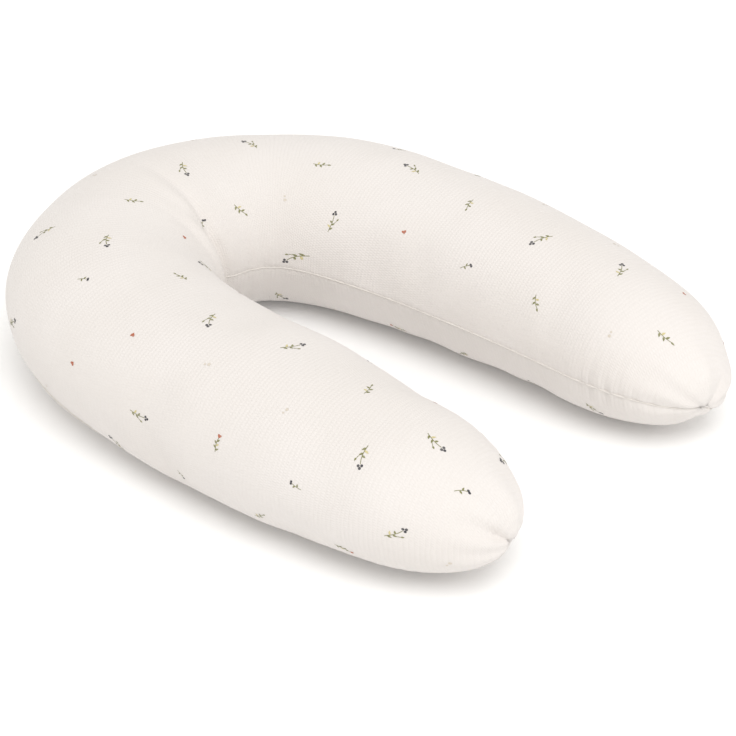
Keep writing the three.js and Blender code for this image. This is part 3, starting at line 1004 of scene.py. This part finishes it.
REPEAT_LONG = 488.0
REPEAT_ROUND = 416.0
ROUND_PER_DEGREE = 1.72
REPEAT = (  # along, round, motif, turn
    (26, -18, berry_sprig, 160), (118, 4, berry_sprig, 40),
    (214, -26, leaf_twig, 285), (312, 6, berry_sprig, 80),
    (410, -14, leaf_twig, 200), (72, 50, faint_dots, 0),
    (170, 62, lone_heart, 0), (268, 48, bud_twig, 120),
    (360, 66, berry_sprig, 15), (456, 54, faint_dots, 50),
    (20, 118, heart_sprig, 175), (122, 132, berry_sprig, 95),
    (218, 120, lone_heart, 320), (310, 138, berry_sprig, 130),
    (414, 124, bud_twig, 250), (70, 190, bud_twig, 20),
    (168, 204, berry_sprig, 210), (264, 186, faint_dots, 30),
    (366, 200, heart_sprig, 65), (460, 194, leaf_twig, 130),
    (24, 266, berry_sprig, 300), (120, 254, lone_heart, 0),
    (216, 272, berry_sprig, 130), (318, 258, bud_twig, 190),
    (412, 270, berry_sprig, 345), (74, 330, leaf_twig, 220),
    (172, 338, faint_dots, 80), (266, 326, berry_sprig, 5),
    (362, 342, lone_heart, 20), (458, 332, bud_twig, 300),
)
PRINT_LIFT = 0.2
MOTIF_SIZE = 1.2
SEAM_CLEAR = 3.0
MOTIF_LOW, MOTIF_HIGH = -65, 225  # no motif starts below these angles
MIDDLE_CLEAR = 14  # beside the cut in the middle of the back
TIP_CLEAR = 20
THINNEST = 45  # half width of the tube


def seam_room(s, degrees):
    """Least distance from a place on the wall to a seam."""
    seams = (180 + SEAM_INNER, float(outer_seam(s)))
    turns = [abs(((degrees - at + 180) % 360) - 180) for at in seams]
    return min(turns) * per_degree(s)


def motif_places():
    """Every place (s, angle) where a motif of the repeat may stand, with the motif and its turn."""
    for col in range(-3, 3):
        for row in range(-1, 2):
            for along, round_, motif, turn in REPEAT:
                s = along + col * REPEAT_LONG
                degrees = 90.0 - (round_ + row * REPEAT_ROUND) / ROUND_PER_DEGREE
                on_arm = MIDDLE_CLEAR <= abs(s) <= LENGTH / 2 - TIP_CLEAR
                if on_arm and MOTIF_LOW <= degrees <= MOTIF_HIGH and section(s)[0] >= THINNEST:
                    yield s, degrees, motif, turn


def lay_motif(s0, degrees0, motif, turn):
    """The motif's shapes as places on the wall, with the bend's stretch taken out."""
    wide = float(section(s0)[0])
    bow = BEND_RADIUS if abs(s0) < BEND_HALF + BEND_EASE / 2 else ARM_BOW_RADIUS
    stretch = max(1 + wide * math.cos(math.radians(degrees0)) / bow, 0.3)
    step = per_degree(s0)
    shapes = motif(MOTIF_SIZE)
    ys = [y for outline, _ in shapes for _, y in outline]
    middle = (max(ys) + min(ys)) / 2
    for outline, colour in shapes:
        edge = turned([(x, y - middle) for x, y in outline], 0, 0, math.radians(turn))
        yield [(s0 + u / stretch, degrees0 - v / step) for u, v in edge], colour


def print_on_cover():
    found = {side: ([], [], [], []) for side, _ in SIDES}
    for s0, degrees0, motif, turn in motif_places():
        laid = list(lay_motif(s0, degrees0, motif, turn))
        if min(seam_room(s, g) for places, _ in laid for s, g in places) < SEAM_CLEAR:
            continue
        step = per_degree(s0)
        verts, faces, colours, weave = found[-1 if s0 < 0 else 1]
        for places, colour in laid:
            ring = len(verts)
            for s, g in [*places, tuple(np.mean(np.array(places), axis=0))]:
                verts.append(on_skin(s, g, PRINT_LIFT)[0])
                weave.append((s, (90 - g) * step, s))
            count = len(places)
            for i in range(count):
                faces.append((ring + i, ring + (i + 1) % count, ring + count))
                colours.append(colour)
    for side, where in SIDES:
        verts, faces, colours, weave = found[side]
        piece = link_mesh(f"print_{where}", verts, faces, PRINTS, colours)
        with_weave(piece, weave)
        bm = bmesh.new()
        bm.from_mesh(piece.data)
        for f in bm.faces:
            f.normal_update()
            _, normal, _, _ = SKIN.find_nearest(f.calc_center_median())
            if f.normal.dot(normal) < 0:
                f.normal_flip()
        bm.to_mesh(piece.data)
        bm.free()
        seat_on_arm(piece, side, where)


print_on_cover()

# ---- The zip: woven tapes, a toothed coil on each, stops, slider and pull
BEND_Y = SPINE_Y - BEND_RADIUS
ZIP_RING = 274.03  # radius of the zip's line
ZIP_HEIGHT = 39.15
FACET_OUT = (0.8375, -0.5464)  # away from the bend and up, out of the CAD's facet there
FACET_UP = (0.5464, 0.8375)


def zip_point(arc, across, out):
    """A point by the zip's line, in metres: arc along it, across it and out of it."""
    turn = arc / ZIP_RING
    r = ZIP_RING + out * FACET_OUT[0] + across * FACET_UP[0]
    z = ZIP_HEIGHT + out * FACET_OUT[1] + across * FACET_UP[1]
    return Vector((r * math.sin(turn), BEND_Y + r * math.cos(turn), z)) * MM


ZIP_ARC = ZIP_HALF * ZIP_RING / BEND_RADIUS
TAPE_ROWS = ((0.5, -0.2), (1.6, -0.25), (3.0, -0.5), (4.6, -1.3), (7.0, -2.4), (10.5, -3.6))
TAPE_THICK = 0.6
TAPE_STEPS = 160
TAPE_TAIL = 5.0  # tape past each end of the teeth, sunk under the seam
TOOTH_PITCH = 1.5


def tape(name, side, node):
    """One side of the woven tape; its ends narrow and sink under the seam."""
    verts, faces = [], []
    rows = [*TAPE_ROWS, *[(a, m - TAPE_THICK) for a, m in reversed(TAPE_ROWS)]]
    for i in range(TAPE_STEPS + 1):
        arc = (ZIP_ARC + TAPE_TAIL) * (2 * i / TAPE_STEPS - 1)
        tail = float(smooth((abs(arc) - ZIP_ARC + 1) / 3))
        ripple = 0.12 * math.sin(arc / 3.1) + 0.08 * math.sin(arc / 1.7)
        for a, m in rows:
            across = a - 0.45 * tail if a < 1 else a
            verts.append(zip_point(arc, side * across, m + ripple * min(a / 5, 1) - 0.7 * tail))
    n = len(rows)
    ring_quads(faces, TAPE_STEPS + 1, n, flip=side < 0)
    for ring in (0, TAPE_STEPS):
        faces.append([ring * n + k for k in range(n)])
    place(link_mesh(name, verts, faces, [tape_cloth]), "back", node, "zip_tape")


def coil(name, side, node):
    """One side of the zip: a row of bowed nylon teeth over a cord."""
    verts, faces = [], []
    count = int(2 * ZIP_ARC / TOOTH_PITCH)
    path = ((-0.35, 1.0), (0.3, 1.55), (1.2, 1.8), (2.2, 1.55), (2.85, 0.7), (2.6, 0.15))
    for i in range(count):
        arc = -ZIP_ARC + (i + (0.5 if side > 0 else 0.0)) * TOOTH_PITCH + 0.3
        base = len(verts)
        for j, (a, m) in enumerate(path):
            half = 0.46 if j else 0.58
            thick = 0.42 if j else 0.5
            skew = (j - 2.5) * 0.08
            top = [(-half * 0.6, thick), (half * 0.6, thick)]
            for da, dm in [(-half, 0.0), *top, (half, 0.0), (0.0, -thick)]:
                verts.append(zip_point(arc + skew + da, side * a, m + dm))
        ring_quads(faces, len(path), 5, base, flip=side < 0)
        faces.append([base + k for k in range(5)])
        faces.append([base + (len(path) - 1) * 5 + k for k in range(5)])
    place(link_mesh(name, verts, faces, [nylon]), "back", node, "zip_nylon")


for side, word in ((1, "upper"), (-1, "lower")):
    tape(f"zip_tape_{word}_woven", side, f"zip_tape_{word}")
    coil(f"zip_teeth_{word}", side, f"zip_coil_{word}")


def drop_slivers(bm):
    """Deletes islands of fewer than four faces, which a bevel can leave behind."""
    seen, slivers = set(), []
    for first in bm.faces:
        if first in seen:
            continue
        island, queue = {first}, [first]
        while queue:
            for edge in queue.pop().edges:
                fresh = [f for f in edge.link_faces if f not in island]
                island.update(fresh)
                queue.extend(fresh)
        seen |= island
        if len(island) < 4:
            slivers.extend(island)
    bmesh.ops.delete(bm, geom=slivers, context="FACES")


def rounded(node, body):
    """A metal part: the CAD's solid with its edges rounded."""
    name = f"{node}_rounded"
    mesh = bpy.data.objects[node].data.copy()
    mesh.name = name
    bm = bmesh.new()
    bm.from_mesh(mesh)
    bmesh.ops.remove_doubles(bm, verts=bm.verts, dist=1e-6)
    bmesh.ops.dissolve_limit(bm, angle_limit=0.02, verts=bm.verts, edges=bm.edges)
    sharp = [e for e in bm.edges if e.is_manifold and e.calc_face_angle(0) > 0.5]
    bmesh.ops.bevel(
        bm,
        geom=sharp,
        offset=EDGE_ROUND * MM,
        segments=2,
        profile=0.5,
        affect="EDGES",
        clamp_overlap=True,
    )
    bmesh.ops.dissolve_degenerate(bm, dist=1e-6, edges=bm.edges)
    drop_slivers(bm)
    bm.to_mesh(mesh)
    bm.free()
    mesh.materials.clear()
    mesh.materials.append(metal)
    for poly in mesh.polygons:
        poly.use_smooth = True
    mesh.set_sharp_from_angle(angle=0.7)
    piece = bpy.data.objects.new(name, mesh)
    scene.collection.objects.link(piece)
    place(piece, body, node, "zip_metal")


EDGE_ROUND = 0.3
rounded("zip_slider", "zip_slider")
rounded("zip_pull", "zip_pull")
rounded("zip_stop_left", "back")
rounded("zip_stop_right", "back")


# ---- Stitches: short lengths of thread, each a little bow over the cloth
THREAD_RADIUS = 0.28
THREAD_SHAPE = (  # along the stitch, height over the cloth, thickness
    (0.0, -0.25, 0.5),
    (0.2, 0.3, 1.0),
    (0.5, 0.405, 1.1),
    (0.8, 0.3, 1.0),
    (1.0, -0.25, 0.5),
)


def stitch(verts, faces, start, stop):
    """Adds one stitch between two places (s, angle) on the cover."""
    a, normal = on_skin(*start)
    b, _ = on_skin(*stop)
    run = (b - a).normalized()
    side = run.cross(normal).normalized()
    base = len(verts)
    for at, up, fat in THREAD_SHAPE:
        middle = a.lerp(b, at) + normal * up * MM
        for k in range(5):
            w = 2 * math.pi * k / 5
            out = side * math.cos(w) + normal * math.sin(w)
            verts.append(middle + out * THREAD_RADIUS * fat * MM)
    ring_quads(faces, len(THREAD_SHAPE), 5, base)
    faces.append([base + k for k in range(5)][::-1])
    faces.append([base + (len(THREAD_SHAPE) - 1) * 5 + k for k in range(5)])


STITCH_PITCH = 3.4 * BEND_RADIUS / ZIP_RING  # along the spine
STITCH_LONG = 2.3 * BEND_RADIUS / ZIP_RING
STITCH_ROW = ZIP_SLOT + 3.2  # from the middle of the zip
for side, where in SIDES:
    verts, faces = [], []
    for across in (1, -1):
        for i in range(int((ZIP_HALF + 6) / STITCH_PITCH)):
            s0 = side * (i + 0.25) * STITCH_PITCH
            angle = float(outer_seam(s0)) + across * STITCH_ROW / per_degree(s0)
            stitch(verts, faces, (s0, angle), (s0 + side * STITCH_LONG, angle))
    for across in (1, -1):
        # two across each end of the zip
        s0 = side * (ZIP_HALF + 7)
        step = per_degree(s0)
        for j in range(2):
            g0 = float(outer_seam(s0)) + across * (1.2 + 3.0 * j) / step
            stitch(verts, faces, (s0, g0), (s0, g0 + across * 2.1 / step))
    piece = link_mesh(f"zip_stitches_{where}", verts, faces, [thread])
    seat_on_arm(piece, side, where)

# ---- The blank care label, sewn into the outer seam
LABEL_FROM = 160.3  # place along the spine
LABEL_WIDE = 15.6
LABEL_DOWN = 21.0
LABEL_THICK = 0.55
LABEL_ACROSS, LABEL_LONG = 14, 14  # its cells
label_verts = []
for layer in (1, 0):
    for i in range(LABEL_ACROSS + 1):
        s0 = LABEL_FROM + LABEL_WIDE * i / LABEL_ACROSS
        for j in range(LABEL_LONG + 1):
            down = 0.2 + LABEL_DOWN * j / LABEL_LONG
            angle = float(outer_seam(s0)) - down / per_degree(s0)
            curl = 0.35 * (j / LABEL_LONG) ** 2 + 0.15 * math.sin(i * 0.7 + j * 0.3)
            label_verts.append(on_skin(s0, angle, 0.35 + curl + LABEL_THICK * layer)[0])
label_faces = []
n = LABEL_LONG + 1
m = (LABEL_ACROSS + 1) * n
for i in range(LABEL_ACROSS):
    for j in range(LABEL_LONG):
        a = i * n + j
        label_faces.append((a, a + 1, a + n + 1, a + n))
        label_faces.append((m + a, m + a + n, m + a + n + 1, m + a + 1))
rim = [i * n for i in range(LABEL_ACROSS + 1)]
rim += [LABEL_ACROSS * n + j for j in range(1, n)]
rim += [i * n + n - 1 for i in range(LABEL_ACROSS - 1, -1, -1)]
rim += range(n - 2, 0, -1)
for a, b in zip(rim, rim[1:] + rim[:1]):
    label_faces.append((a, b, m + b, m + a))
label = link_mesh("care_label_blank", label_verts, label_faces, [label_cloth])
bm = bmesh.new()
bm.from_mesh(label.data)
bmesh.ops.recalc_face_normals(bm, faces=bm.faces)
bm.to_mesh(label.data)
bm.free()
place(label, "back", "care_label", "label_cloth")

# ---- The casing and its filling, inside the cover
CASING_INSET, CASING_GAP = 13.0, 2.2  # below the wall, above the floor
FILLING_INSET, FILLING_GAP = 16.5, 4.6
INSIDE_ROUND = 44  # points round the tube
FAR_FROM_SEAM = 40.0


def inner_half(name, side, where, inset, floor_gap, material, slot, nodes):
    """One half of the casing or the filling, a closed body that follows the folds' hollows."""
    half_at = stations()
    half_at = half_at[half_at >= 0][::2]
    half_at = np.append(half_at[half_at < LENGTH / 2 - 4], LENGTH / 2 - 3.0) * side
    angles = np.linspace(0, 360, INSIDE_ROUND + 1)[:-1]
    s, a = np.meshgrid(half_at, angles, indexing="ij")
    far = np.full_like(s, FAR_FROM_SEAM)
    rise = np.minimum(folds(s, a, far, far, False), 0)
    rise = rise - 0.44 * np.cos(np.radians(a * 11)) * np.sin(s / 19)
    p = wall(s, a) - outward(s, a) * (inset - rise)[..., None]
    p[..., 2] = np.maximum(p[..., 2], floor_gap)
    p[0, :, 0] = 0.05 * side
    rows, count = s.shape
    verts = (p.reshape(-1, 3) * MM).tolist()
    faces = []
    ring_quads(faces, rows, count, flip=side > 0)
    for ring in (0, rows - 1):
        middle = len(verts)
        verts.append(np.mean(p[ring], axis=0) * MM)
        for k in range(count):
            x, y = ring * count + k, ring * count + (k + 1) % count
            faces.append((x, y, middle) if (ring == 0) == (side > 0) else (y, x, middle))
    piece = link_mesh(name, verts, faces, [material])
    seat_on_arm(piece, side, where)
    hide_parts(*nodes)


for side, where in SIDES:
    casing = (casing_cloth, "casing_cotton", [
        f"casing_top_{where}",
        f"casing_bottom_{where}",
        "casing_top_back" if side < 0 else "casing_bottom_back",
    ])
    inner_half(f"casing_{where}_cotton", side, where, CASING_INSET, CASING_GAP, *casing)
    nodes = [f"filling_{where}"] + (["filling_back"] if side < 0 else [])
    filling = (fibre, "filling_fibre", nodes)
    inner_half(f"filling_{where}_fibre", side, where, FILLING_INSET, FILLING_GAP, *filling)

# ---- The cover's halves
for whole, panel_name in ((top_panel, "cover_top"), (bottom_panel, "cover_bottom")):
    for side, where in SIDES:
        half = half_of(whole, side, f"{panel_name}_{where}_cloth")
        seat_on_arm(half, side, where)
        nodes = [f"{panel_name}_{where}"] + ([f"{panel_name}_back"] if side < 0 else [])
        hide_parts(*nodes)
    bpy.data.objects.remove(whole)

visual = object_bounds()
[[[float(c) for c in corner] for corner in box] for box in (CAD_BOX, visual)]
